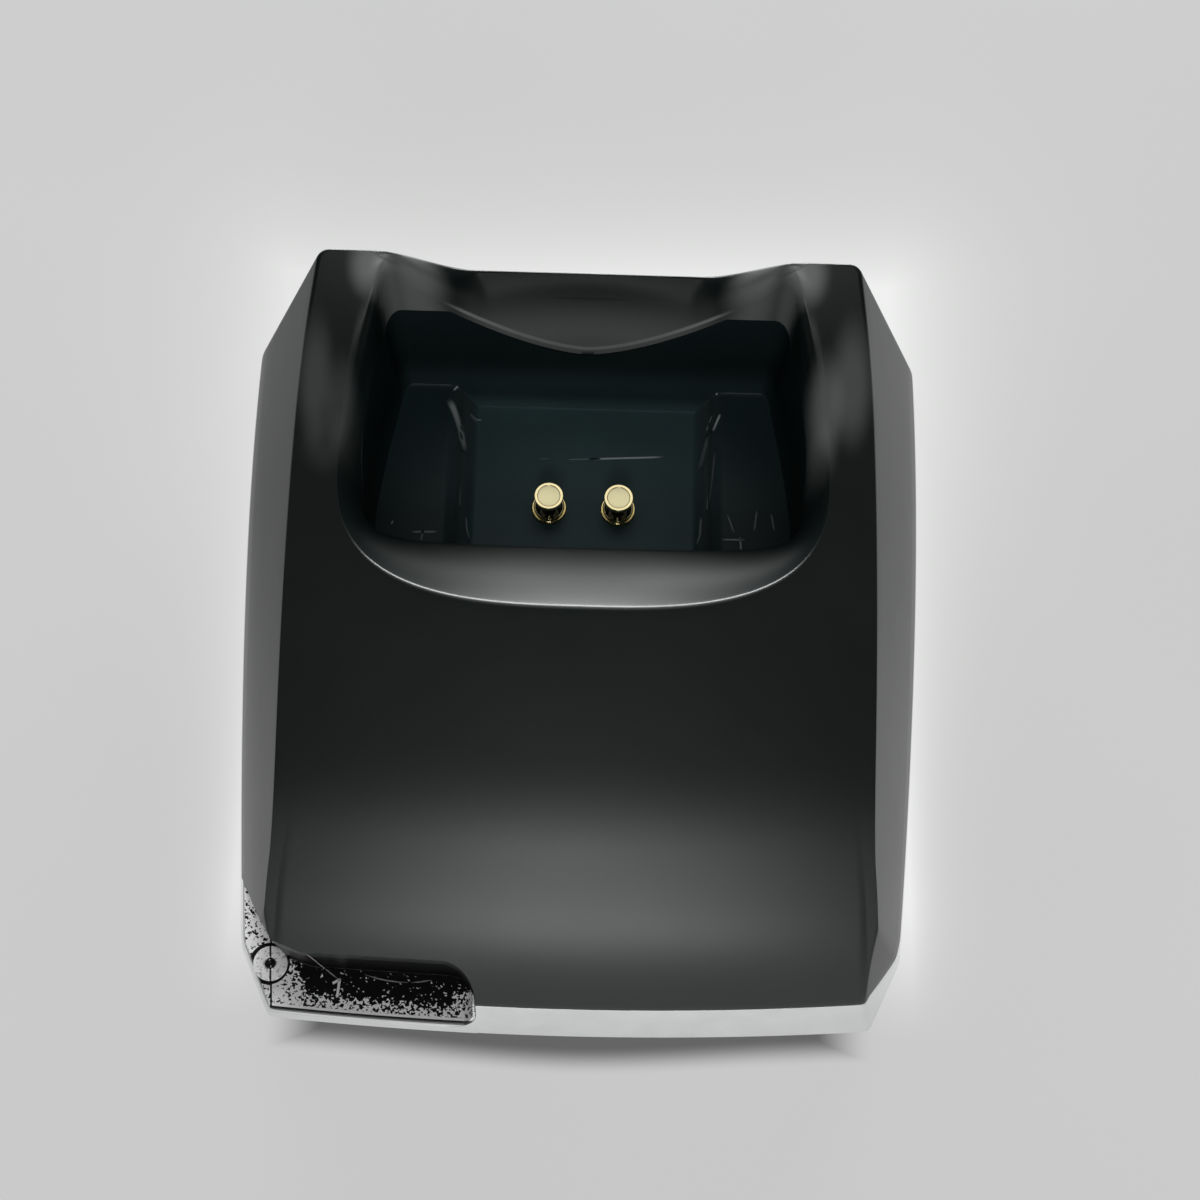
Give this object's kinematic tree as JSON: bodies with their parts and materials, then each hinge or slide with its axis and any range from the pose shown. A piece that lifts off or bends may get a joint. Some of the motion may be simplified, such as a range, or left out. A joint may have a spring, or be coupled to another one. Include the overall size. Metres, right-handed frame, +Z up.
{
  "type": "clipper charging stand",
  "caption": "Desktop charging stand for a hair clipper: drafted black shell with a sloping front, a flared cradle well and sprung gold contacts.",
  "frame": {"origin": "centre of the footprint, on the table under the rubber feet", "axes": "+X to the right, +Y to the rear, +Z up; the sloping front faces -Y"},
  "size_m": [0.0978, 0.1024, 0.0522],
  "materials": {
    "shell": "satin black moulded plastic",
    "liner": "polished black plastic with a cool tint",
    "band": "satin silver plating",
    "under_plastic": "matt black moulded plastic",
    "steel": "plain cut steel",
    "board": "solder-masked board",
    "gold": "gold-plated turned brass",
    "spring_steel": "bright wire",
    "inlet_plastic": "moulded black plastic",
    "nickel": "nickel plate",
    "smoked_window": "smoked glossy plastic",
    "sparkle_plate": "bright textured metal finish",
    "bezel": "bright plated ring",
    "indicator": "dark clear plastic",
    "foot_rubber": "matt rubber",
    "screw_steel": "zinc-plated steel"
  },
  "bodies": {
    "stand": {"top_housing": "shell", "cradle_liner": "liner", "base_band": "band", "bottom_plate": "under_plastic", "ballast_weight": "steel", "circuit_board": "board", "contact_barrel_left": "gold", "contact_barrel_right": "gold", "contact_spring_left": "spring_steel", "contact_spring_right": "spring_steel", "power_inlet": "inlet_plastic", "inlet_centre_pin": "nickel", "status_window": "smoked_window", "status_plate": "sparkle_plate", "indicator_bezel": "bezel", "indicator_light": "indicator", "foot_front_left": "foot_rubber", "foot_front_right": "foot_rubber", "foot_rear_left": "foot_rubber", "foot_rear_right": "foot_rubber", "case_screw_front_left": "screw_steel", "case_screw_front_right": "screw_steel", "case_screw_rear_left": "screw_steel", "case_screw_rear_right": "screw_steel", "board_screw_left": "screw_steel", "board_screw_right": "screw_steel"},
    "contact_pin_left": {"contact_pin_left": "gold"},
    "contact_pin_right": {"contact_pin_right": "gold"}
  },
  "joints": [
    {"name": "contact_slide_left", "type": "slide", "parent": "stand", "child": "contact_pin_left", "axis": [0, 0, 1], "range_m": [-0.002, 0], "stiffness_N_per_m": 300, "springref_m": 0.001, "deforming": ["contact_spring_left"]},
    {"name": "contact_slide_right", "type": "slide", "parent": "stand", "child": "contact_pin_right", "axis": [0, 0, 1], "range_m": [-0.002, 0], "stiffness_N_per_m": 300, "springref_m": 0.001, "deforming": ["contact_spring_right"]}
  ]
}
